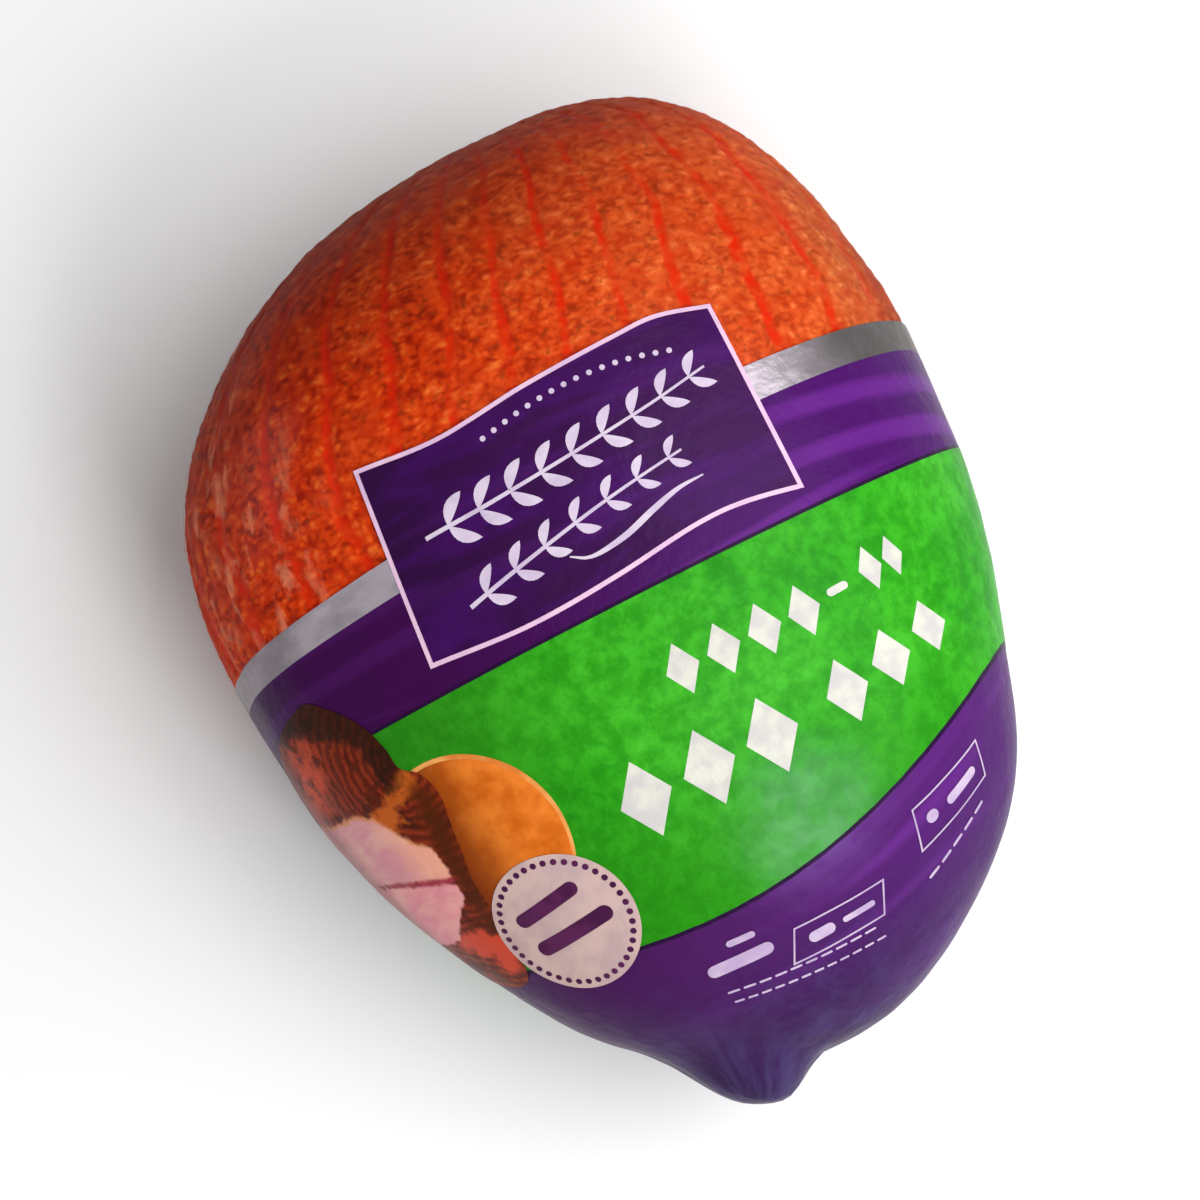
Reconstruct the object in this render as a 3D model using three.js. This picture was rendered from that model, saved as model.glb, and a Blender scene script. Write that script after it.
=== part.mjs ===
// A whole bone-in leg ham, smoked, netted and shrunk into a tight printed bag. It lies on its back,
// with the broad butt end towards +Y, the shank end towards -Y and the print facing up. The bag
// clings to the meat, so the shut pack is one solid. Millimetres, +Z up, with the origin on the
// floor under the middle of the pack.

import * as THREE from "three";
import { mergeVertices } from "three/addons/utils/BufferGeometryUtils.js";

// The outline from above is two half ovals, joined where the ham is widest. A bluntness of 2 makes
// an ellipse and more makes a squarer end.
const WIDTH = 262;
const BUTT = { length: 125.2, bluntAlong: 2.1, bluntAcross: 2.4 };
const SHANK = { length: 207.3, bluntAlong: 2.05, bluntAcross: 2.05 };

// The ham rises OVER its middle height and hangs UNDER it. The meat sinks a little onto the floor,
// which leaves a flat spot to rest on.
const OVER = 88;
const UNDER = 80;
const MIDDLE_HEIGHT = 78;
const SECTION_BLUNT_OVER = 2.1;
const SECTION_BLUNT_UNDER = 2.35;

// The middle of the outline wanders as the muscles do. "along" is a place along +Y, from the widest
// point, and "right" and "up" are the middle's offsets there.
const MIDDLE_LINE = [
  { along: -208, right: -3, up: -14 },
  { along: -150, right: 3.5, up: -9 },
  { along: -90, right: -1, up: -5 },
  { along: 0, right: -3.7, up: 0 },
  { along: 65, right: 0, up: 3 },
  { along: 100, right: 10, up: 2 },
  { along: 125, right: 24, up: -2 },
];

// Each muscle swells softly under the bag, and each hollow is a swelling of negative height. "at"
// is its place, measured from the middle of the widest section, and "reach" is how far it spreads.
const SWELLINGS = [
  { at: [-102, 84, 30], height: -1.5, reach: 20 },
  { at: [-128, -30, 10], height: -1.5, reach: 15 },
  { at: [-112, -80, 20], height: -0.8, reach: 25 },
  { at: [-58, -187, -12], height: -3.2, reach: 14 },
  { at: [38, -200, -10], height: 2, reach: 22 },
  { at: [85, -158, -5], height: 1.5, reach: 20 },
  { at: [106, -105, 5], height: -1.5, reach: 20 },
  { at: [120, 40, 10], height: -1.2, reach: 20 },
  { at: [60, 20, 88], height: 3, reach: 55 },
  { at: [-70, -70, 75], height: -2.5, reach: 40 },
  { at: [-40, 60, -70], height: 3, reach: 45 },
  { at: [60, -110, -50], height: -3, reach: 35 },
];

// The sawn shank bone pushes the bag out into a blunt knob beside the middle. Only the last stretch
// of the shank, "root" long, takes part.
const KNOB = { right: -29, up: -12, length: 12.5, reach: 15, steepness: 3.5, root: 50 };

const SEGMENTS_ROUND = 72;
const SEGMENTS_ALONG = 64;

const blunt = (value, bluntness) => Math.sign(value) * Math.abs(value) ** (2 / bluntness);

const middleLine = new THREE.CubicInterpolant(
  MIDDLE_LINE.map((point) => point.along),
  MIDDLE_LINE.flatMap((point) => [point.right, point.up]),
  2,
);

// Draws a point of the unit sphere out to the smooth oval of the ham.
function ovalPoint(sphere) {
  const end = sphere.y > 0 ? BUTT : SHANK;
  const along = end.length * blunt(sphere.y, end.bluntAlong);
  const girth = Math.hypot(sphere.x, sphere.z) ** (2 / end.bluntAcross);
  const angle = Math.atan2(sphere.z, sphere.x);
  const isOver = sphere.z > 0;
  const bluntness = isOver ? SECTION_BLUNT_OVER : SECTION_BLUNT_UNDER;
  const [right, up] = middleLine.evaluate(along);
  return new THREE.Vector3(
    right + (WIDTH / 2) * girth * blunt(Math.cos(angle), bluntness),
    along,
    up + (isOver ? OVER : UNDER) * girth * blunt(Math.sin(angle), bluntness),
  );
}

// Bulges and hollows fall away from their centre by a bell curve, with a flat top if it is steep.
const bell = (distance, reach, steepness = 2) =>
  Math.exp(-0.5 * (distance / reach) ** steepness);

function withSwellings(point) {
  const outward = point.clone().normalize();
  for (const { at, height, reach } of SWELLINGS) {
    const distance = point.distanceTo(new THREE.Vector3(...at));
    point.addScaledVector(outward, height * bell(distance, reach));
  }
  return point;
}

function withKnob(point) {
  const distance = Math.hypot(point.x - KNOB.right, point.z - KNOB.up);
  const nearEnd = THREE.MathUtils.smoothstep(-point.y, SHANK.length - KNOB.root, SHANK.length);
  point.y -= KNOB.length * bell(distance, KNOB.reach, KNOB.steepness) * nearEnd;
  return point;
}

function hamGeometry() {
  const geometry = new THREE.SphereGeometry(1, SEGMENTS_ROUND, SEGMENTS_ALONG);
  const position = geometry.getAttribute("position");
  for (let i = 0; i < position.count; i++) {
    const sphere = new THREE.Vector3().fromBufferAttribute(position, i);
    const { x, y, z } = withKnob(withSwellings(ovalPoint(sphere)));
    position.setXYZ(i, x, y, Math.max(z + MIDDLE_HEIGHT, 0));
  }
  geometry.deleteAttribute("normal");
  geometry.deleteAttribute("uv");
  return mergeVertices(geometry);
}

// Centres a geometry over the origin, seen from above.
function centred(geometry) {
  geometry.computeBoundingBox();
  const middle = geometry.boundingBox.getCenter(new THREE.Vector3());
  return geometry.translate(-middle.x, -middle.y, 0);
}

const printedFilm = new THREE.MeshStandardMaterial({
  color: 0x3f1a63,
  roughness: 0.35,
  metalness: 0,
});

const ham = new THREE.Mesh(centred(hamGeometry()), printedFilm);
ham.name = "ham_pack";

const part = new THREE.Group();
part.add(ham);

export default part;
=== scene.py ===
"""A smoked leg ham in a tight shrink bag, clear over the broad butt end and printed below it."""

from math import atan2, cos, hypot, pi, radians, sin, sqrt

import bpy
from mathutils import Matrix, Vector


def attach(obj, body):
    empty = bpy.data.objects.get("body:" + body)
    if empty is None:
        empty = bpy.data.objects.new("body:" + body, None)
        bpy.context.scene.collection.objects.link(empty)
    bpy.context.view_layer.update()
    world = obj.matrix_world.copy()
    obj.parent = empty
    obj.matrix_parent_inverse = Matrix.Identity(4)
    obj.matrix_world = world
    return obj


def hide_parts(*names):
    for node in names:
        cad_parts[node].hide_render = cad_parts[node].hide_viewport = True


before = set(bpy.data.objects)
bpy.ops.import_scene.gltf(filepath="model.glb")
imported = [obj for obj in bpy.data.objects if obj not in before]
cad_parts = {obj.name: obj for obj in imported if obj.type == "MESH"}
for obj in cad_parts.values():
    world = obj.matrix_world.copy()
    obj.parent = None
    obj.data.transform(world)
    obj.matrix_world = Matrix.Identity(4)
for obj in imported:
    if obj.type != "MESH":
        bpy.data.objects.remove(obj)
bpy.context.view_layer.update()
pack_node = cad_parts["ham_pack"]

# --------------------------------------------------------------------
# Camera. The pack lies on its back and is looked down on, a little from the shank's side, turned
# so that the butt end is up and to the left.
# --------------------------------------------------------------------

camera_target = Vector((-0.0037, 0.0069, 0.084))
camera_distance = 1.2
camera_elevation = radians(79)
camera_roll = radians(24.9)
view_width = 0.4077
sensor_width = 36

bpy.ops.object.camera_add()
camera = bpy.context.object
camera.name = "camera"
backwards = Vector((0, -cos(camera_elevation), sin(camera_elevation)))
turn = (-backwards).to_track_quat("-Z", "Y").to_matrix() @ Matrix.Rotation(-camera_roll, 3, "Z")
camera.location = camera_target + camera_distance * backwards
camera.rotation_euler = turn.to_euler()
camera.data.sensor_width = sensor_width
camera.data.lens = sensor_width * camera_distance / view_width
camera.data.clip_start = 0.05
bpy.context.scene.camera = camera
bpy.context.scene.view_settings.view_transform = "Standard"

# --------------------------------------------------------------------
# Form of the pack, an aid that is removed at the end. It is the pack's solid with its triangles
# merged and smoothed, and each film and print below is cut from it or laid on it.
# --------------------------------------------------------------------

merge_distance = 0.00002
quad_angle = radians(70)
# The meat under the film isn't quite even, apart from where the pack rests.
uneven_size = 0.042
uneven_depth = 0.0024
uneven_rise = 0.03
rest_height = 0.004
# The form lies this far inside the solid, so that the prints' layers don't stand out of it.
print_build = 0.00016


def select_only(piece):
    """Makes one piece the only selected and active object."""
    bpy.ops.object.select_all(action="DESELECT")
    piece.hide_set(False)
    piece.select_set(True)
    bpy.context.view_layer.objects.active = piece


def duplicate(piece, name):
    """A copy of a piece with a mesh of its own."""
    twin = piece.copy()
    twin.data = piece.data.copy()
    twin.name = twin.data.name = name
    twin.parent = None
    for key in list(twin.keys()):
        del twin[key]
    bpy.context.collection.objects.link(twin)
    select_only(twin)
    return twin


def apply_modifier(piece, kind, **settings):
    """Adds a modifier to a piece, with its settings, and applies it."""
    modifier = piece.modifiers.new(kind.lower(), kind)
    for key, value in settings.items():
        setattr(modifier, key, value)
    select_only(piece)
    bpy.ops.object.modifier_apply(modifier=modifier.name)


pack_form = duplicate(pack_node, "pack_form")
pack_form.data.materials.clear()
bpy.ops.object.mode_set(mode="EDIT")
bpy.ops.mesh.select_all(action="SELECT")
bpy.ops.mesh.remove_doubles(threshold=merge_distance)
bpy.ops.mesh.tris_convert_to_quads(face_threshold=quad_angle, shape_threshold=quad_angle)
bpy.ops.mesh.normals_make_consistent(inside=False)
bpy.ops.object.mode_set(mode="OBJECT")
apply_modifier(pack_form, "SUBSURF", levels=1, render_levels=1)
free_side = pack_form.vertex_groups.new(name="free_side")
for vertex in pack_form.data.vertices:
    free_side.add([vertex.index], min(max((vertex.co.z - rest_height) / uneven_rise, 0), 1), "ADD")
uneven = bpy.data.textures.new("uneven_meat", "CLOUDS")
uneven.noise_scale = uneven_size
apply_modifier(pack_form, "DISPLACE", strength=uneven_depth, mid_level=0.5, texture=uneven,
               texture_coords="LOCAL", vertex_group="free_side")
apply_modifier(pack_form, "DISPLACE", strength=-print_build, mid_level=0.0)
bpy.ops.object.shade_smooth()

# --------------------------------------------------------------------
# Ham. Smoked pork leg in its rind. It was hung in a knitted net, whose loops pressed a pebbled
# pattern into the rind and whose lengthwise strands left red furrows that meet at the butt.
# --------------------------------------------------------------------

film_gap = 0.0003
clear_from = 0.02
rind_cuts = 2
pebble_scale = 165
pebble_stretch = (0.75, 1.3, 0.75)
pebble_sway = (0.003, 0.003, 0.003)
sway_scale = 140
grain_scale = 300
oval_slope = 0.42
pebble_depth = 0.0004
strand_count = 28
strand_depth = 0.0008
strand_narrow = 0.72
strand_wobble = 3.0
wobble_scale = 30
strand_break_scale = 75
strand_axis_height = 0.078
strand_pole_right = 0.026
strand_bend_start = 0.03
strand_bend_end = 0.171
rind_roughness = 0.6
rind_shine = 0.02
bump_strength = 0.5


def colour(red, green, blue):
    """A paint's linear colour from its screen values of 0 to 255."""
    return tuple((v / 255 / 12.92 if v < 10 else ((v / 255 + 0.055) / 1.055) ** 2.4)
                 for v in (red, green, blue)) + (1.0,)


def add_node(tree, kind, inputs, **settings):
    """A new node with its settings, each input linked to a socket or set to a value."""
    node = tree.nodes.new(kind)
    for key, value in settings.items():
        setattr(node, key, value)
    for key, value in inputs.items():
        if isinstance(value, bpy.types.NodeSocket):
            tree.links.new(value, node.inputs[key])
        else:
            node.inputs[key].default_value = value
    return node


def math_node(tree, operation, *values):
    """A Math node on sockets or numbers."""
    return add_node(tree, "ShaderNodeMath", dict(enumerate(values)), operation=operation).outputs[0]


def times(tree, first, *others):
    """The product of some values."""
    for other in others:
        first = math_node(tree, "MULTIPLY", first, other)
    return first


def plus(tree, first, *others):
    """The sum of some values."""
    for other in others:
        first = math_node(tree, "ADD", first, other)
    return first


def minus(tree, first, second):
    """The difference of two values."""
    return math_node(tree, "SUBTRACT", first, second)


def vector_math(tree, operation, *values):
    """A Vector Math node on sockets or vectors: a number for a length, or else a vector."""
    node = add_node(tree, "ShaderNodeVectorMath", dict(enumerate(values)), operation=operation)
    return node.outputs["Value" if operation in ("DISTANCE", "LENGTH") else "Vector"]


def parts_of(tree, place):
    """A place's X, Y and Z."""
    return add_node(tree, "ShaderNodeSeparateXYZ", {0: place}).outputs


def place_of(tree, *parts):
    """A place from its X, Y and Z."""
    return add_node(tree, "ShaderNodeCombineXYZ", dict(enumerate(parts))).outputs[0]


def ramp_between(tree, value, low, high, start=0.0, end=1.0):
    """Maps a value's range from low to high smoothly onto start to end."""
    return add_node(tree, "ShaderNodeMapRange",
                    {"Value": value, "From Min": low, "From Max": high, "To Min": start,
                     "To Max": end}, interpolation_type="SMOOTHSTEP").outputs["Result"]


def noise_node(tree, place, scale, detail=2.0, roughness=0.5, distortion=0.0, output="Fac"):
    """A cloudy noise on a place."""
    return add_node(tree, "ShaderNodeTexNoise",
                    {"Vector": place, "Scale": scale, "Detail": detail, "Roughness": roughness,
                     "Distortion": distortion}).outputs[output]


def angle_round(tree, place):
    """The angle round the pack, from a middle line that bends to where the strands meet."""
    x, y, z = parts_of(tree, place)
    bend = ramp_between(tree, y, strand_bend_start, strand_bend_end, 0.0, strand_pole_right)
    return math_node(tree, "ARCTAN2", minus(tree, x, bend), minus(tree, z, strand_axis_height))


def net_marks(tree, place):
    """The net's pattern at a place: pebbles, 1 on top, their grain, and strands, 1 in one."""
    phase = plus(tree, times(tree, angle_round(tree, place), strand_count),
                 times(tree, noise_node(tree, place, wobble_scale), strand_wobble))
    broken = ramp_between(tree, noise_node(tree, place, strand_break_scale), 0.36, 0.54, 0.35, 1.0)
    strand = times(tree, ramp_between(tree, math_node(tree, "COSINE", phase), strand_narrow, 1.0),
                   broken)
    sway = noise_node(tree, place, sway_scale, output="Color")
    swayed = vector_math(tree, "ADD", vector_math(tree, "MULTIPLY", place, pebble_stretch),
                         vector_math(tree, "MULTIPLY", sway, pebble_sway))
    ovals = []
    for scale in (pebble_scale, grain_scale):
        voronoi = add_node(tree, "ShaderNodeTexVoronoi", {"Scale": scale, "Vector": swayed},
                           feature="DISTANCE_TO_EDGE")
        ovals.append(ramp_between(tree, voronoi.outputs["Distance"], 0.0, oval_slope))
    return ovals[0], ovals[1], strand


def relief(piece, name, height_at):
    """Pushes a piece's points out along their normals, by the height at each place."""
    tree = bpy.data.node_groups.new(name, "GeometryNodeTree")
    for way in ("INPUT", "OUTPUT"):
        tree.interface.new_socket("Geometry", in_out=way, socket_type="NodeSocketGeometry")
    start, end, place, normal = (tree.nodes.new(kind) for kind in (
        "NodeGroupInput", "NodeGroupOutput", "GeometryNodeInputPosition",
        "GeometryNodeInputNormal"))
    push = vector_math(tree, "MULTIPLY", normal.outputs[0], height_at(tree, place.outputs[0]))
    move = add_node(tree, "GeometryNodeSetPosition",
                    {"Geometry": start.outputs[0], "Offset": push})
    tree.links.new(move.outputs[0], end.inputs[0])
    apply_modifier(piece, "NODES", node_group=tree)


def rind_height(tree, place):
    """The rind's height at a place: it is low between the pebbles and under the strands."""
    pebble, grain, strand = net_marks(tree, place)
    low = times(tree, minus(tree, pebble, 1.0), pebble_depth)
    return minus(tree, minus(tree, low, times(tree, strand, strand_depth)), film_gap)


ham = duplicate(pack_form, "ham")
bpy.ops.object.mode_set(mode="EDIT")
bpy.ops.mesh.select_mode(type="FACE")
bpy.ops.mesh.select_all(action="DESELECT")
bpy.ops.object.mode_set(mode="OBJECT")
for face in ham.data.polygons:
    face.select = face.center.y > clear_from
bpy.ops.object.mode_set(mode="EDIT")
bpy.ops.mesh.subdivide(number_cuts=rind_cuts, smoothness=0)
bpy.ops.object.mode_set(mode="OBJECT")
relief(ham, "rind_relief", rind_height)


def new_material(name, roughness):
    """A material with its node tree and its Principled shader."""
    material = bpy.data.materials.new(name)
    material.use_nodes = True
    shader = material.node_tree.nodes["Principled BSDF"]
    shader.inputs["Roughness"].default_value = roughness
    return material, material.node_tree, shader


def object_place(tree, stretch=(1, 1, 1), turn=(0, 0, 0)):
    """The place on the piece, stretched and turned."""
    place = tree.nodes.new("ShaderNodeTexCoord").outputs["Object"]
    if stretch == (1, 1, 1) and turn == (0, 0, 0):
        return place
    return add_node(tree, "ShaderNodeMapping",
                    {"Vector": place, "Scale": stretch, "Rotation": turn}).outputs[0]


def mix_colours(tree, share, first, second, way="MIX"):
    """Two colours, each a value or a socket, mixed by a share."""
    return add_node(tree, "ShaderNodeMix", {0: share, 6: first, 7: second}, data_type="RGBA",
                    blend_type=way).outputs[2]


def washed(tree, paint, wash, value, low, high, most=1.0, way="MIX"):
    """A paint under a wash, whose share goes from 0 to most as a value goes from low to high."""
    return mix_colours(tree, ramp_between(tree, value, low, high, 0.0, most), paint, wash, way)


def bump(tree, shader, height, distance):
    """Small relief on a shader."""
    node = add_node(tree, "ShaderNodeBump",
                    {"Strength": bump_strength, "Distance": distance, "Height": height})
    tree.links.new(node.outputs[0], shader.inputs["Normal"])


def rind_material():
    """Smoked rind: grainy orange and red-brown, red strands, painted shade at the butt and left."""
    material, tree, shader = new_material("smoked_rind", rind_roughness)
    shader.inputs["Specular IOR Level"].default_value = rind_shine
    place = object_place(tree)
    x, y, z = parts_of(tree, place)
    pebble, grain, strand = net_marks(tree, place)
    uneven = minus(tree, noise_node(tree, place, 230, 3, 0.62, 0.2), 0.4)
    marks = plus(tree, times(tree, pebble, 0.3), times(tree, grain, 0.3), times(tree, uneven, 1.8))
    # The rind is redder on the left and paler on the right, in patches.
    patches = ramp_between(tree, noise_node(tree, place, 30, 3), 0.36, 0.64, -0.03, 0.03)
    paler = ramp_between(tree, plus(tree, x, patches), -0.09, 0.125)
    lows = mix_colours(tree, paler, colour(140, 20, 1), colour(178, 58, 20))
    middles = mix_colours(tree, paler, colour(202, 54, 4), colour(208, 86, 34))
    tops = mix_colours(tree, paler, colour(226, 110, 36), colour(232, 122, 66))
    rind = washed(tree, lows, middles, marks, -0.05, 0.5)
    rind = washed(tree, rind, tops, marks, 0.4, 1.05)
    specks = noise_node(tree, place, 330)
    rind = washed(tree, rind, colour(122, 48, 10), specks, 0.58, 0.7, 0.55)
    blushes = noise_node(tree, place, 110, 3, 0.6)
    rind = washed(tree, rind, colour(192, 42, 2), blushes, 0.42, 0.7, 0.5)
    tint = ramp_between(tree, noise_node(tree, place, 260), 0.35, 0.65, 0.5, 1.0)
    rind = mix_colours(tree, times(tree, strand, tint), rind, colour(208, 34, 3))
    # Painted shade: browner and darker towards the butt end and the left, where less light falls.
    painted_shade_slope = minus(tree, times(tree, y, 1.1), times(tree, x, 0.37))
    rind = washed(tree, rind, (0.27, 0.15, 0.08, 1.0), painted_shade_slope, 0.08, 0.2, 0.85, way="MULTIPLY")
    # The right flank is painted paler and less red as a sheen, and darker where it turns down as
    # shade.
    for low, high, shade in ((0.1, 0.118, (0.84, 1.2, 1.35, 1)),
                             (0.118, 0.127, (0.74, 0.54, 0.45, 1))):
        rind = washed(tree, rind, shade, x, low, high, way="MULTIPLY")
    tree.links.new(rind, shader.inputs["Base Color"])
    bump(tree, shader, uneven, 0.0007)
    return material


ham.data.materials.append(rind_material())
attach(ham, "root")
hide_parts("ham_pack")

# --------------------------------------------------------------------
# Clear film. The bare end of the shrink bag: a glossy clear barrier film, shrunk in hot water
# until it clings to the rind.
# --------------------------------------------------------------------

film_thickness = 0.0001
smooth_below = radians(50)
# An edge of a printed band is a plane: its place along Y at the middle of the pack, its rise to
# the right and its lean with the height.
clear_edge = (0.0412, 0.062, -0.02)
# The film didn't shrink quite tight on the left flank, where it stands off in fine wrinkles.
# Their pale colour on the film is a painted highlight.
wrinkle_start = -0.062
wrinkle_end = -0.105
wrinkle_height = 0.0008
wrinkle_glint_share = 0.46
wrinkle_stretch = (14, 55, 0)
gloss_roughness = 0.25


def edge_plane(edge):
    """A point of a band's edge plane and its normal towards the butt."""
    along, rise, lean = edge
    return Vector((0, along, 0)), Vector((-rise, 1, -lean)).normalized()


def cut_piece(piece, point, normal, keep="ahead"):
    """Cuts a piece along a plane and keeps what lies ahead, along its normal, or behind."""
    select_only(piece)
    bpy.ops.object.mode_set(mode="EDIT")
    bpy.ops.mesh.select_all(action="SELECT")
    bpy.ops.mesh.bisect(plane_co=point, plane_no=normal, use_fill=False,
                        clear_inner=keep == "ahead", clear_outer=keep == "behind")
    bpy.ops.object.mode_set(mode="OBJECT")


def film_piece(name, lift, butt_edge=None, shank_edge=None):
    """A stretch of the bag's film between two edges, its outside lifted off the form."""
    film = duplicate(pack_form, name)
    if lift:
        apply_modifier(film, "DISPLACE", strength=lift, mid_level=0.0)
    if butt_edge:
        cut_piece(film, *edge_plane(butt_edge), keep="behind")
    if shank_edge:
        cut_piece(film, *edge_plane(shank_edge))
    return film


def thicken(piece):
    """Gives a sheet the film's thickness, inwards."""
    apply_modifier(piece, "SOLIDIFY", thickness=film_thickness, offset=-1.0)
    bpy.ops.object.shade_smooth_by_angle(angle=smooth_below)


def finish_film(piece, material):
    """Gives a film or print its material and names it as part of the pack."""
    piece.data.materials.append(material)
    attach(piece, "root")
    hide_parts("ham_pack")


def wrinkle_marks(tree, place):
    """Fine lengthwise wrinkles of the left flank at a place, 1 on a ridge."""
    x, y, z = parts_of(tree, place)
    along = vector_math(tree, "MULTIPLY", place_of(tree, angle_round(tree, place), y),
                        wrinkle_stretch)
    ridge = ramp_between(tree, noise_node(tree, along, 1.0, 4, 0.66, 0.3), 0.5, 0.76)
    slack = times(tree, ramp_between(tree, x, wrinkle_start, wrinkle_end),
                  ramp_between(tree, z, 0.04, 0.12))
    return times(tree, ridge, slack)


def clear_material():
    """Clear film, a little glossy, with pale painted highlights on its wrinkles."""
    material, tree, shader = new_material("clear_film", gloss_roughness)
    tree.nodes.remove(shader)
    see = tree.nodes.new("ShaderNodeBsdfTransparent")
    gloss = add_node(tree, "ShaderNodeBsdfAnisotropic", {"Roughness": gloss_roughness})
    painted_glint = add_node(tree, "ShaderNodeBsdfDiffuse", {"Color": colour(248, 152, 112)})
    facing = tree.nodes.new("ShaderNodeLayerWeight").outputs["Facing"]
    shine = add_node(tree, "ShaderNodeMixShader",
                     {0: ramp_between(tree, facing, 0.3, 1.0, 0.005, 0.009),
                      1: see.outputs[0], 2: gloss.outputs[0]})
    marks = wrinkle_marks(tree, object_place(tree))
    # The pale diffuse colour on the wrinkles is a painted highlight.
    mix = add_node(tree, "ShaderNodeMixShader", {0: times(tree, marks, wrinkle_glint_share),
                                                 1: shine.outputs[0], 2: painted_glint.outputs[0]})
    tree.links.new(mix.outputs[0], tree.nodes["Material Output"].inputs["Surface"])
    return material


clear_film = film_piece("clear_film", 0.0, shank_edge=clear_edge)
relief(clear_film, "film_wrinkles",
       lambda tree, place: times(tree, wrinkle_marks(tree, place), wrinkle_height))
thicken(clear_film)
finish_film(clear_film, clear_material())

# --------------------------------------------------------------------
# Purple print. The rest of the same bag, printed all over in a deep purple with flowing lighter
# streaks, down round the knob of the shank bone, where the shrunk film is gathered in folds.
# --------------------------------------------------------------------

silver_edge = (0.0335, 0.058, -0.045)
print_roughness = 0.36
print_shine = 0.06
field_curve = 3.0
field_middle = -0.012
# A soft pale patch painted on the prints low in the middle stands in for a highlight.
sheen_middle = (0.028, -0.096, 0.132)
sheen_reach = 0.034
sheen_share = 0.17
band_level = 0.024
band_step = 0.015
knob_middle = (-0.0285, 0, 0.064)
fold_turns = 4.5
fold_height = 0.0005
fold_spacing = 40
streak_stretch = (7, 95, 6)
line_stretch = (90, 130, 110)
print_bump_scale = 130
print_bump_height = 0.0012


def print_material(name, paint_at, metallic=0.0):
    """A printed film's material, with the faint pebbles of the rind that it clings to."""
    material, tree, shader = new_material(name, print_roughness)
    shader.inputs["Specular IOR Level"].default_value = print_shine
    shader.inputs["Metallic"].default_value = metallic
    place = object_place(tree)
    bump(tree, shader, noise_node(tree, place, print_bump_scale, 3, 0.55), print_bump_height)
    tree.links.new(paint_at(tree, place), shader.inputs["Base Color"])
    return material


def painted_sheen(tree, place, paint, pale):
    """Paints a soft pale sheen over a print, low in the middle of the pack: a painted highlight."""
    cloud = ramp_between(tree, noise_node(tree, place, 90), 0.35, 0.65, 0.4, 1.0)
    gap = vector_math(tree, "DISTANCE", place, sheen_middle)
    share = times(tree, cloud, ramp_between(tree, gap, sheen_reach, 0.004, 0.0, sheen_share))
    return mix_colours(tree, share, paint, pale)


def knob_folds(tree, place):
    """Folds that meet at the knob, 1 on a ridge, and how near the knob a place is."""
    off = vector_math(tree, "SUBTRACT", place, knob_middle)
    across = vector_math(tree, "MULTIPLY", off, (1, 0, 1))
    away = vector_math(tree, "LENGTH", across)
    spoke = vector_math(tree, "MULTIPLY", vector_math(tree, "NORMALIZE", across),
                        (fold_turns, 0, fold_turns))
    fold = vector_math(tree, "ADD", spoke, place_of(tree, 0.0, times(tree, away, fold_spacing)))
    ridge = ramp_between(tree, noise_node(tree, fold, 1.0, 3, 0.55), 0.38, 0.64)
    # The knob's blunt end is smooth.
    near = times(tree, ramp_between(tree, away, 0.052, 0.018),
                 ramp_between(tree, away, 0.004, 0.013))
    return ridge, near


def fold_rise(tree, place):
    """The height of the folds round the knob at a place."""
    ridge, near = knob_folds(tree, place)
    return times(tree, ridge, fold_height, near)


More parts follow.
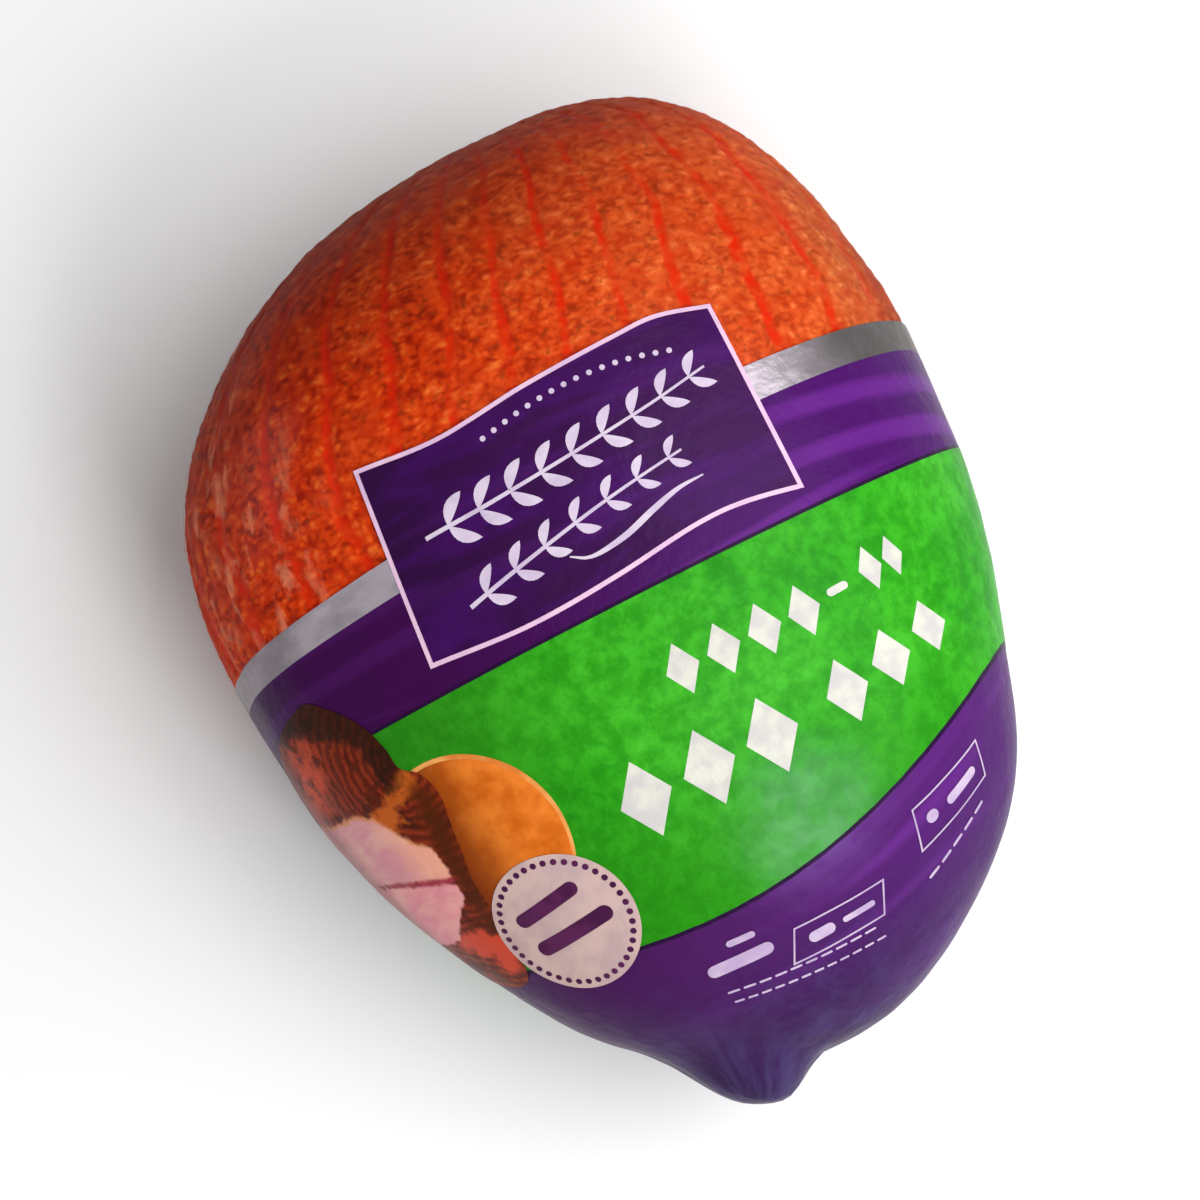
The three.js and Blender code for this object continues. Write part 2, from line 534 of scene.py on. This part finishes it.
def purple_material(name, shaded_left_colour, lit_right_colour, streak_colour, banded=False):
    """Deep purple ink with painted light to the right, and streaks of a lighter violet."""
    def paint_at(tree, place):
        x, y, z = parts_of(tree, place)
        # The streaks run straight across near the silver and follow the green field's curve
        # below it.
        off = minus(tree, x, field_middle)
        curve = times(tree, off, off, field_curve)
        level = minus(tree, y, times(tree, curve, ramp_between(tree, y, 0.03, -0.05)))
        swept = place_of(tree, x, level, z)
        flow = noise_node(tree, vector_math(tree, "MULTIPLY", swept, streak_stretch), 1.0, 2, 0.55)
        streak = times(tree, ramp_between(tree, flow, 0.5, 0.7),
                       ramp_between(tree, x, -0.05, 0.06, 0.3, 0.7))
        # Painted light and shade: lighter to the right, where the light falls, darker to the left.
        paint = washed(tree, shaded_left_colour, lit_right_colour, x, -0.08, 0.08)
        if not banded:
            slant = object_place(tree, stretch=(1.0, 3.0, 1.0), turn=(0, 0, radians(35)))
            paint = washed(tree, paint, colour(70, 14, 104),
                           noise_node(tree, slant, 26, 3, 0.6, 0.4), 0.42, 0.68, 0.45)
            return mix_colours(tree, streak, paint, streak_colour)
        # Two broad streaks lie above the green on the right.
        wave = plus(tree, times(tree, minus(tree, flow, 0.5), 3.0),
                    times(tree, minus(tree, y, band_level), 2 * pi / band_step))
        band = times(tree, ramp_between(tree, math_node(tree, "COSINE", wave), -0.1, 0.9),
                     ramp_between(tree, x, 0.045, 0.085, 0.15, 0.8))
        streak = washed(tree, streak, band, y, -0.005, 0.004)
        paint = mix_colours(tree, streak, paint, streak_colour)
        # Painted sheen: a little greyer and paler lower down towards the knob.
        paint = washed(tree, paint, colour(98, 56, 120), level, -0.055, -0.1, 0.16)
        # Round the knob the film is gathered in folds.
        # There the print is painted darker and bluer, as shade and a bluish sheen.
        end = times(tree, ramp_between(tree, level, -0.118, -0.17, 0.0, 0.85),
                    ramp_between(tree, x, 0.01, 0.07, 1.0, 0.6))
        paint = mix_colours(tree, end, paint, colour(42, 28, 62))
        # Pale painted highlights lie on the folds.
        lines = noise_node(tree, vector_math(tree, "MULTIPLY", swept, line_stretch), 1.0, 3, 0.6,
                           0.3)
        ridge, near = knob_folds(tree, place)
        fold = mix_colours(tree, near, ramp_between(tree, lines, 0.4, 0.72),
                           times(tree, ridge, 0.75))
        fold = times(tree, fold, ramp_between(tree, x, 0.06, -0.03, 0.25, 0.6), end)
        paint = mix_colours(tree, fold, paint, colour(82, 76, 124))
        return painted_sheen(tree, place, paint, colour(160, 120, 210))

    return print_material(name, paint_at)


printed_film = film_piece("printed_film", 0.0, butt_edge=silver_edge)
relief(printed_film, "knob_folds", fold_rise)
thicken(printed_film)
finish_film(printed_film, purple_material("purple_print", colour(56, 10, 66), colour(68, 15, 93),
                                          colour(98, 34, 130), banded=True))

# --------------------------------------------------------------------
# Silver band. A stripe of metallic ink between the clear film and the purple, with painted
# shade where it turns down on both flanks.
# --------------------------------------------------------------------


def silver_paint(tree, place):
    """Brushed silver, with painted shade towards both flanks."""
    grain = noise_node(tree, object_place(tree, stretch=(1, 2, 1)), 70, 3)
    x = parts_of(tree, place)[0]
    paint = washed(tree, colour(158, 150, 156), colour(194, 182, 194), grain, 0.25, 0.75)
    # Painted shade: darker towards both flanks, where the band turns down.
    paint = washed(tree, paint, colour(70, 68, 64), x, 0.074, 0.112, 0.9)
    return washed(tree, paint, colour(84, 76, 78), x, -0.082, -0.125, 0.6)


silver_band = film_piece("silver_band", 0.0, butt_edge=clear_edge, shank_edge=silver_edge)
thicken(silver_band)
finish_film(silver_band, print_material("silver_ink", silver_paint, metallic=0.5))

# --------------------------------------------------------------------
# Green field. A broad band of bright green ink round the pack from the left flank, straight along
# its top and curved below, with a thin dark line along its edges.
# --------------------------------------------------------------------

field_edge = (0.0075, 0.036, -0.12)
field_low_point = -0.1114
field_left = -0.097
outline_width = 0.0012
outline_lift = 0.00008
field_lift = 0.00016
tangent_step = 0.011
tangent_reach = 12


def green_field(name, lift, margin):
    """The band between the straight edge and the curve, wider by a margin on both sides."""
    along, rise, lean = field_edge
    field = film_piece(name, lift, butt_edge=(along + margin, rise, lean))
    for step in range(-tangent_reach, tangent_reach + 1):
        off = step * tangent_step
        point = Vector((field_middle + off, field_low_point + field_curve * off * off, 0))
        normal = Vector((-2 * field_curve * off, 1, 0)).normalized()
        cut_piece(field, point - margin * normal, normal)
    cut_piece(field, Vector((field_left - margin, 0, 0)), Vector((1, 0, 0)))
    thicken(field)
    return field


def outline_paint(tree, place):
    """The dark line's purple."""
    return mix_colours(tree, noise_node(tree, place, 60), colour(28, 10, 38), colour(44, 16, 58))


def green_paint(tree, place):
    """Mottled green, with painted shade to the left and towards the curve, and painted sheen."""
    x, y, z = parts_of(tree, place)
    cloud = ramp_between(tree, noise_node(tree, place, 24), 0.35, 0.65)
    deep = mix_colours(tree, cloud, colour(30, 130, 16), colour(42, 144, 22))
    light = mix_colours(tree, cloud, colour(48, 160, 26), colour(64, 174, 38))
    paint = washed(tree, deep, light, noise_node(tree, place, 150, 3, 0.65), 0.32, 0.7)
    # Painted shade: darker to the left and towards the curve, away from the light.
    paint = washed(tree, paint, colour(30, 110, 14), x, -0.01, -0.085, 0.75)
    paint = washed(tree, paint, colour(34, 122, 14), y, -0.05, -0.105, 0.6)
    return painted_sheen(tree, place, paint, colour(170, 206, 190))


green_outline = green_field("green_outline", outline_lift, outline_width)
finish_film(green_outline, print_material("outline_print", outline_paint))
green_band = green_field("green_field", field_lift, 0.0)
finish_film(green_band, print_material("green_print", green_paint))

# --------------------------------------------------------------------
# Label. A deep purple panel with a thin pinkish white border over the clear film, the silver and
# the purple, printed with two white sprigs, an arc of dots and a swash.
# --------------------------------------------------------------------

mm = 0.001
stand_off = 0.08
label_lift = 0.0002
panel_lift = 0.00028
mark_lift = 0.00036
label_top = [(-58.4, 65.0), (-29, 61.9), (3, 65.2), (35, 68.0), (51, 68.9), (68.6, 65.7)]
label_bottom = [(-62.3, -2.9), (-29, -6.1), (3, -4.2), (35, 0.6), (51, 1.3), (71, -0.5)]
border_width = 1.5
label_width = 130
label_height = 67
label_cells = (46, 24)
line_step = 0.01
bar_end_steps = 4
first_leaf = 0.08
leaf_stretch = 0.86
leaf_shrink = 0.25
leaf_gap = 0.25
dot_corners = 12


def board(place, facing):
    """The plane that a flat print is drawn on: over a place of the pack, facing it."""
    out = Vector(facing).normalized()
    up = (Vector((0, 1, 0)) - out.y * out).normalized()
    turn = Matrix((up.cross(out), up, out)).transposed().to_4x4()
    return Matrix.Translation(Vector(place) * mm + out * stand_off) @ turn


def smooth_line(points, closed=False):
    """A smooth line through points, as a function of the share of its length."""
    points = [Vector(point) for point in points]
    if closed:
        points.append(points[0])
        before_first, after_last = points[-2], points[1]
    else:
        before_first, after_last = 2 * points[0] - points[1], 2 * points[-1] - points[-2]
    ends = [0.0]
    for first, second in zip(points, points[1:]):
        ends.append(ends[-1] + (second - first).length)

    def at(share):
        distance = min(max(share, 0), 1) * ends[-1]
        here = max(i for i in range(len(points) - 1) if ends[i] <= distance or i == 0)
        t = (distance - ends[here]) / (ends[here + 1] - ends[here])
        before = points[here - 1] if here else before_first
        after = points[here + 2] if here + 2 < len(points) else after_last
        first, second = points[here], points[here + 1]
        return (first * (2 + t * t * (3 * t - 5)) + before * (t * (2 * t - 1 - t * t))
                + second * (t * (1 + t * (4 - 3 * t))) + after * (t * t * (t - 1))) / 2

    return at


def flat_grid(along, across, place):
    """A flat grid over shares of 0 to 1, each point put where place says, in millimetres."""
    bpy.ops.mesh.primitive_grid_add(x_subdivisions=along, y_subdivisions=across, size=1)
    grid = bpy.context.object
    for vertex in grid.data.vertices:
        x, y = place(vertex.co.x + 0.5, vertex.co.y + 0.5)
        vertex.co = (x * mm, y * mm, 0)
    return grid


def flat_strip(line, width, along, across=2):
    """A strip along a line, its width a function of the share of its length."""
    def place(u, v):
        run = (line(u + line_step) - line(u - line_step)).normalized()
        return line(u) + (v - 0.5) * width(u) * Vector((-run.y, run.x))
    return flat_grid(along, across, place)


def flat_bar(start, end, width):
    """A straight bar with round ends."""
    start, end = Vector(start), Vector(end)
    length = (end - start).length
    run = (end - start) / length
    across = Vector((-run.y, run.x))
    steps = [width / 2 * (1 - cos(pi / 2 / bar_end_steps * i)) for i in range(bar_end_steps + 1)]
    straight = max(2, round(length / 4))
    marks = (steps[:-1] + [width / 2 + (length - width) * i / straight for i in range(straight)]
             + [length - step for step in reversed(steps)])
    def place(u, v):
        mark = marks[round(u * (len(marks) - 1))]
        inside = min(mark, length - mark, width / 2)
        half = sqrt(max(0.0, (width / 2) ** 2 - (width / 2 - inside) ** 2))
        return start + run * mark + across * (2 * v - 1) * half
    return flat_grid(len(marks) - 1, 2, place)


def flat_patch(centre, outline, cells):
    """A patch inside a closed line round a centre."""
    centre = Vector(centre)
    def place(u, v):
        x, y = 2 * u - 1, 2 * v - 1
        x, y = x * sqrt(1 - y * y / 2), y * sqrt(1 - x * x / 2)
        share = (atan2(y, x) / (2 * pi)) % 1
        return centre + hypot(x, y) * (outline(share) - centre)
    return flat_grid(cells, cells, place)


def flat_disc(centre, radius, cells):
    """A round disc."""
    centre = Vector(centre)
    return flat_patch(centre, lambda share: centre + radius * Vector((cos(2 * pi * share),
                                                                      sin(2 * pi * share))), cells)


def join_pieces(name, pieces):
    """Joins pieces into one."""
    select_only(pieces[0])
    for piece in pieces:
        piece.select_set(True)
    bpy.ops.object.join()
    piece = bpy.context.object
    piece.name = piece.data.name = name
    return piece


def lay_on_pack(name, shapes, drawn_on, lift, material):
    """Presses flat shapes onto the pack and makes one print of them."""
    piece = join_pieces(name, shapes)
    piece.matrix_world = drawn_on
    apply_modifier(piece, "SHRINKWRAP", target=pack_form, wrap_method="PROJECT",
                   use_project_z=True, use_negative_direction=True,
                   use_positive_direction=False)
    bpy.ops.object.transform_apply(location=True, rotation=True, scale=True)
    bpy.ops.object.mode_set(mode="EDIT")
    bpy.ops.mesh.select_all(action="SELECT")
    bpy.ops.mesh.remove_doubles(threshold=merge_distance)
    bpy.ops.mesh.normals_make_consistent(inside=False)
    bpy.ops.object.mode_set(mode="OBJECT")
    facing = drawn_on.to_3x3() @ Vector((0, 0, 1))
    if sum(face.normal.dot(facing) * face.area for face in piece.data.polygons) < 0:
        piece.data.flip_normals()
    apply_modifier(piece, "DISPLACE", strength=lift, mid_level=0.0)
    thicken(piece)
    finish_film(piece, material)


def ink_material(name, first, second, scale=90):
    """Ink that varies softly between two colours."""
    return print_material(name, lambda tree, place: washed(
        tree, first, second, noise_node(tree, place, scale), 0.35, 0.65))


def between_lines(inset):
    """A place between the label's bottom and top lines, inset from its edges."""
    low, high = smooth_line(label_bottom), smooth_line(label_top)
    def place(u, v):
        u = inset / label_width + u * (1 - 2 * inset / label_width)
        v = inset / label_height + v * (1 - 2 * inset / label_height)
        return low(u) * (1 - v) + high(u) * v
    return place


def swell(share):
    """0 at both ends of a line and 1 at its middle."""
    return sin(pi * min(max(share, 0), 1))


def sprig(stem_points, leaf_length, leaf_width, pairs):
    """A stem with pairs of pointed leaves and a leaf at its tip."""
    stem = smooth_line(stem_points)
    shapes = [flat_strip(stem, lambda share: 1.5 - 0.7 * share, 30)]
    for number in range(pairs):
        share = first_leaf + leaf_stretch * number / (pairs - 1)
        root = stem(share)
        run = (stem(share + line_step) - stem(share - line_step)).normalized()
        size = 1.0 - leaf_shrink * share
        for side in (-1, 1):
            across = Vector((-run.y, run.x)) * side
            tip = root + (run * 0.72 + across * 0.7) * leaf_length * size
            middle = root + (run * 0.28 + across * 0.44) * leaf_length * size
            start = root + across * leaf_gap
            shapes.append(flat_strip(smooth_line([start, middle, tip]),
                                     lambda s: leaf_width * size * swell(s) ** 0.8, 8))
    return shapes


def round_dots(places, radius):
    """Small round dots."""
    dots = []
    for x, y in places:
        bpy.ops.mesh.primitive_circle_add(vertices=dot_corners, radius=radius * mm,
                                          fill_type="TRIFAN", location=(x * mm, y * mm, 0))
        bpy.ops.object.transform_apply(location=True)
        dots.append(bpy.context.object)
    return dots


top_board = board((0, 0, 168), (0, 0, 1))
border_print = ink_material("border_print", colour(222, 186, 210), colour(212, 176, 206))
white_print = ink_material("white_print", colour(206, 192, 210), colour(192, 174, 200))
lay_on_pack("label_border", [flat_grid(*label_cells, between_lines(0))], top_board, label_lift,
            border_print)
lay_on_pack("label_panel", [flat_grid(*label_cells, between_lines(border_width))], top_board,
            panel_lift, purple_material("label_print", colour(42, 11, 54), colour(58, 18, 74),
                                        colour(74, 24, 100)))
label_marks = (sprig([(-46, 34), (-20, 35), (10, 38), (36, 42), (58, 47)], 12, 4.2, 9)
               + sprig([(-42, 8), (-20, 13), (8, 19), (40, 25)], 10, 3.6, 7))
arc = smooth_line([(-16, 54.5), (1, 57.8), (18, 59.4), (35, 58.8), (50, 56)])
label_marks += round_dots([arc(i / 15) for i in range(16)], 0.95)
swash = smooth_line([(-6.6, 8.4), (0, 5.5), (12, 7.0), (24, 11), (34, 14), (43, 15)])
label_marks.append(flat_strip(swash, lambda share: 0.5 + 1.6 * swell(share), 30))
lay_on_pack("label_marks", label_marks, top_board, mark_lift, white_print)

# --------------------------------------------------------------------
# White lozenges. Two rows of plain lozenges across the green, a small row over a large one, with
# a short dash in the small row.
# --------------------------------------------------------------------

lozenge_lift = 0.00024
lozenges = [(11, -38, 11.5, 17), (25.5, -37.5, 11.5, 17), (40, -37, 11.5, 17), (54, -36.5, 11, 17),
            (79.5, -31.5, 8, 14.5), (88, -30, 7, 13.5),
            (-17, -69.5, 18, 25), (5.5, -69, 18, 25), (28, -68, 18, 25),
            (56, -64.5, 14.5, 21), (73.5, -60, 13.5, 19), (89.5, -54.5, 12, 17)]


def flat_lozenge(x, y, width, height):
    """A lozenge round a point."""
    return flat_grid(6, 6, lambda u, v: (x + (u - v) * width / 2, y + (u + v - 1) * height / 2))


lay_on_pack("field_lozenges", [flat_lozenge(*lozenge) for lozenge in lozenges]
            + [flat_bar((63, -34.6), (70.5, -33.6), 2.6)], top_board, lozenge_lift,
            ink_material("lozenge_print", colour(206, 206, 194), colour(192, 188, 186), 130))

# --------------------------------------------------------------------
# Serving picture. A round orange disc, and a roast beside it whose cut side shows pink meat, as
# plain fields of colour that run round the left flank.
# --------------------------------------------------------------------

rim_lift = 0.00024
disc_lift = 0.00032
roast_lift = 0.0004
disc_board = board((-70, -55, 133), (-0.42, -0.3, 0.86))
disc_centre = (-7, -6)
roast_board = board((-98, -45, 116), (-0.72, -0.32, 0.62))
strata_centre = (0.022, 0.022)
strata_step = 0.0036
ring_points = 100
line_points = 50
roast_outline = [(13, -34), (16, -23.5), (20.5, -14), (24, -4.6), (27, 4.6), (25.5, 13.9),
                 (20.5, 19.5), (20.5, 27), (18, 37.6), (11, 47.6), (3.4, 54.5), (-5.4, 54.6),
                 (-18, 52), (-32, 46), (-44, 32), (-50, 14), (-50, -8), (-47, -30), (-38, -48),
                 (-20, -60), (-4, -63), (4, -57), (8, -44)]
upper_meat = [(-46, 17), (-28, 15.5), (-12, 14.5), (-4, 11), (1.5, 5), (4, -1), (8, -4.5),
              (11, -9), (10.5, -15), (9, -19.5), (-1, -15.5), (-14, -11.5), (-28, -8.5),
              (-46, -6)]
lower_meat = [(-46, -7), (-28, -10), (-14, -13), (-2, -17), (8, -21), (7, -27), (1, -31),
              (-6, -35), (-14, -38), (-24, -38), (-38, -34), (-46, -22)]


def inside(outline):
    """How far a place lies inside a smooth closed line, less than 0 outside it."""
    line = smooth_line(outline, closed=True)
    ring = [line(step / ring_points) for step in range(ring_points)]

    def reach(place):
        within = False
        for first, second in zip(ring, ring[1:] + ring[:1]):
            if (first.y > place.y) != (second.y > place.y):
                cross = first + (second - first) * (place.y - first.y) / (second.y - first.y)
                within ^= place.x < cross.x
        gap = min((place - point).length for point in ring)
        return gap if within else -gap

    return reach


def beside(points, half_widths):
    """How far a place lies inside a line whose half width changes along it."""
    line = smooth_line(points)
    stops = []
    for step in range(line_points + 1):
        at = step / line_points * (len(half_widths) - 1)
        first = min(int(at), len(half_widths) - 2)
        wider = half_widths[first + 1] - half_widths[first]
        stops.append((line(step / line_points), half_widths[first] + (at - first) * wider))
    return lambda place: max(half - (place - point).length for point, half in stops)


def store_fields(piece, fields):
    """Stores how far each point of a flat piece lies inside each field, in millimetres."""
    for name, reach in fields.items():
        layer = piece.data.attributes.new(name, "FLOAT", "POINT")
        for vertex, item in zip(piece.data.vertices, layer.data):
            item.value = reach(vertex.co.xy / mm)


def field_over(tree, paint, name, wander, soft, most, wash):
    """A paint under a stored field's wash, whose soft edge wanders."""
    stored = add_node(tree, "ShaderNodeAttribute", {}, attribute_name=name)
    return washed(tree, paint, wash, plus(tree, stored.outputs["Fac"], wander), -soft, soft, most)


def board_place(tree, drawn_on):
    """The place on a piece in the plane of its board."""
    back = drawn_on.inverted()
    return add_node(tree, "ShaderNodeMapping",
                    {"Vector": object_place(tree), "Location": back.to_translation(),
                     "Rotation": back.to_euler()}).outputs[0]


def disc_paint(tree, place):
    """Cloudy orange, browner to the left."""
    flat = board_place(tree, disc_board)
    paint = washed(tree, colour(190, 88, 14), colour(228, 126, 44),
                   noise_node(tree, flat, 70, 3, 0.6), 0.3, 0.7)
    return washed(tree, paint, colour(120, 48, 10), parts_of(tree, flat)[0], 0.012, -0.016)


def roast_paint(tree, place):
    """A sliced roast: dark glazed crust in wavy layers, and pink meat with a red seam."""
    flat = board_place(tree, roast_board)
    x, y, z = parts_of(tree, flat)
    right, up = minus(tree, x, strata_centre[0]), minus(tree, y, strata_centre[1])
    reach = math_node(tree, "SQRT", plus(tree, times(tree, right, right), times(tree, up, up)))
    sway = times(tree, noise_node(tree, flat, 90, 3, 0.6), 14.0)
    rings = math_node(tree, "SINE", plus(tree, sway, times(tree, reach, 2 * pi / strata_step)))
    uneven = minus(tree, noise_node(tree, flat, 170, 3, 0.6), 0.5)
    wander, slight = times(tree, uneven, 16.0), times(tree, uneven, 6.0)

    paint = washed(tree, colour(94, 30, 14), colour(132, 46, 22), rings, -0.9, 0.9)
    paint = field_over(tree, paint, "glow", wander, 5.0, 0.75, colour(206, 78, 50))
    dark = noise_node(tree, flat, 130, 3, 0.6)
    paint = washed(tree, paint, colour(66, 24, 14), dark, 0.5, 0.64, 0.8)
    grain = ramp_between(tree, noise_node(tree, object_place(tree, stretch=(1, 2.2, 1)), 60, 3,
                                          0.6), 0.35, 0.65)
    upper = mix_colours(tree, grain, colour(208, 138, 150), colour(218, 162, 156))
    upper = washed(tree, upper, colour(238, 168, 136), x, -0.012, 0.008, 0.75)
    lower = mix_colours(tree, grain, colour(216, 134, 146), colour(226, 158, 154))
    for name, edge, soft, most, wash in (
            ("glaze", wander, 2.5, 0.9, colour(190, 92, 30)),
            ("crust", wander, 2.4, 0.84, colour(36, 22, 14)),
            ("shade", slight, 3.5, 0.9, colour(76, 32, 10)),
            ("foot", wander, 2.0, 0.9, colour(206, 70, 44)),
            ("meat_rim", slight, 1.2, 0.8, colour(222, 148, 104)),
            ("upper_meat", slight, 0.9, 1.0, upper),
            ("lower_meat", slight, 0.9, 1.0, lower),
            ("seam", 0.0, 1.0, 0.85, colour(166, 56, 78))):
        paint = field_over(tree, paint, name, edge, soft, most, wash)
    # Painted shade: darker and greyer towards the left edge, where the flank turns down.
    return washed(tree, paint, colour(120, 70, 70), x, -0.02, -0.036, 0.6)


lay_on_pack("orange_rim", [flat_disc(disc_centre, 34.2, 24)], disc_board, rim_lift,
            ink_material("rim_print", colour(226, 160, 88), colour(208, 120, 52)))
lay_on_pack("orange_disc", [flat_disc((-7.5, -6.6), 33.3, 24)], disc_board, disc_lift,
            print_material("orange_disc", disc_paint))
roast = flat_patch((-10, 0), smooth_line(roast_outline, closed=True), 56)
store_fields(roast, {
    "glow": beside([(-34, 24), (-24, 30), (-18, 37), (-10, 44)], [5, 8, 8, 3]),
    "crust": beside([(-19, 53), (-6, 54), (3, 51), (11, 45), (17, 36), (18.5, 27), (14, 19)],
                    [3, 7, 10, 9, 8, 7, 4]),
    "glaze": beside([(1, 8), (5, 10), (12, 12), (20, 15)], [5, 4, 2, 4]),
    "shade": beside([(21, 11), (21, 3), (17, -10), (14, -22), (9, -34), (7, -44)],
                    [2, 5, 4, 3.5, 3, 2]),
    "foot": beside([(-14, -41), (-4, -43), (1, -48), (-2, -55)], [3, 5, 5, 4]),
    "meat_rim": inside([(x, y + 1.6) for x, y in upper_meat]),
    "upper_meat": inside(upper_meat),
    "lower_meat": inside(lower_meat),
    "seam": beside([(-46, -6), (-28, -9), (-14, -12), (-3, -15.6), (8.5, -20)],
                   [0, 0.3, 1.0, 1.3, 1.2])})
lay_on_pack("roast_picture", [roast], roast_board, roast_lift,
            print_material("roast_print", roast_paint))

# --------------------------------------------------------------------
# Round badge. A pale pink disc that overlaps the serving picture, with a ring of purple dots
# inside its edge and two short bars.
# --------------------------------------------------------------------

badge_lift = 0.0006
badge_mark_lift = 0.00066
badge_board = board((-57.5, -91, 122), (-0.42, -0.44, 0.79))
badge_centre = (-1, -1.6)
badge_radius = 25.3
ring_radius = 22.6
ring_dots = 40

lay_on_pack("badge", [flat_disc(badge_centre, badge_radius, 18)], badge_board, badge_lift,
            ink_material("badge_print", colour(196, 168, 162), colour(182, 156, 156)))
ring = [(badge_centre[0] + ring_radius * cos(2 * pi * i / ring_dots),
         badge_centre[1] + ring_radius * sin(2 * pi * i / ring_dots)) for i in range(ring_dots)]
lay_on_pack("badge_marks", round_dots(ring, 1.1) + [flat_bar((-16, 5.4), (11, 8.4), 5.2),
                                                     flat_bar((-16, -6.4), (16, -4.6), 5.6)],
            badge_board, badge_mark_lift, ink_material("badge_ink", colour(66, 24, 62),
                                                        colour(84, 34, 74)))

# --------------------------------------------------------------------
# Small marks. Two groups of fine pale marks on the lower purple: a bar and an outlined box over
# dashed lines on the left, an outlined box over a dashed line on the right.
# --------------------------------------------------------------------


def outlined_box(corners, width):
    """A box's outline in one piece, with mitred corners."""
    corners = [Vector(corner) for corner in corners]
    sides = [(second - first).normalized()
             for first, second in zip(corners, corners[1:] + corners[:1])]
    lefts = [Vector((-side.y, side.x)) for side in sides]
    mitres = [(before + after) / (1 + before.dot(after))
              for before, after in zip(lefts[-1:] + lefts[:-1], lefts)]

    def place(u, v):
        side = int(u * 4 + 0.001)
        first, second = (corners[i % 4] + (v - 0.5) * width * mitres[i % 4]
                         for i in (side, side + 1))
        return first.lerp(second, u * 4 - side)

    return [flat_grid(32, 2, place)]


def dashed_line(start, end, dash, gap, width):
    """As many dashes as fit between two ends."""
    start, end = Vector(start), Vector(end)
    length = (end - start).length
    count = int(length / (dash + gap))
    run = (end - start) / length
    return [flat_bar(start + run * (dash + gap) * i, start + run * ((dash + gap) * i + dash), width)
            for i in range(count)]


left_marks = (outlined_box([(-4, -6.3), (0.2, 6.0), (33.2, 7.6), (29.5, -4.5)], 0.6)
              + [flat_bar((-31, 1.5), (-8, 3.6), 4.6), flat_bar((-22, 9.6), (-12, 10.4), 2.4),
                 flat_bar((3.5, 0.2), (13, 0.8), 4.0), flat_bar((16, 1.0), (28, 1.8), 2.2)]
              + dashed_line((-27.5, -7.8), (29, -7.4), 4.2, 1.2, 0.8)
              + dashed_line((-26.5, -12), (28.7, -12.4), 3.4, 1.2, 0.8))
right_marks = (outlined_box([(-16.9, 2.5), (-13.9, -12.6), (16.3, 4.7), (13.5, 17.6)], 0.6)
               + [flat_bar((-11.5, -2.5), (-7, -0.4), 4.4), flat_bar((-2.5, 1.2), (11, 9.0), 3.4)]
               + dashed_line((-10.8, -23.2), (18.7, 0.4), 5.2, 1.4, 1.1))
small_print = ink_material("small_print", colour(190, 172, 196), colour(172, 150, 184))
lay_on_pack("left_marks", left_marks, board((8, -129, 113), (0.05, -0.6, 0.8)), rim_lift,
            small_print)
lay_on_pack("right_marks", right_marks, board((72, -108, 109), (0.48, -0.53, 0.7)), rim_lift,
            small_print)

# --------------------------------------------------------------------
# Floor and light: a pale floor under a broad soft light from the right and the shank's side, a
# small one from the shank's side and a faint one low on the left.
# --------------------------------------------------------------------

floor_size = 6
world_strength = 0.28

bpy.ops.mesh.primitive_plane_add(size=floor_size)
floor = bpy.context.object
floor.name = "floor"
floor_material, _, floor_shader = new_material("pale_floor", 0.8)
floor_shader.inputs["Base Color"].default_value = (0.9, 0.9, 0.9, 1)
floor_shader.inputs["Specular IOR Level"].default_value = 0.1
floor.data.materials.append(floor_material)


def soft_light(name, place, size, power):
    """A square softbox that faces the pack."""
    bpy.ops.object.light_add(type="AREA", location=place)
    light = bpy.context.object
    light.name = name
    light.rotation_euler = (camera_target - Vector(place)).to_track_quat("-Z", "Y").to_euler()
    light.data.size = size
    light.data.energy = power


soft_light("key_light", (1.0, -0.6, 1.6), 1.8, 42)
soft_light("front_light", (0.24, -1.12, 1.2), 0.45, 9)
soft_light("left_light", (-1.2, 0.75, 0.45), 0.7, 3)

world = bpy.data.worlds.new("studio")
bpy.context.scene.world = world
world.use_nodes = True
world.node_tree.nodes["Background"].inputs["Color"].default_value = (1, 1, 1, 1)
world.node_tree.nodes["Background"].inputs["Strength"].default_value = world_strength

bpy.data.objects.remove(pack_form)
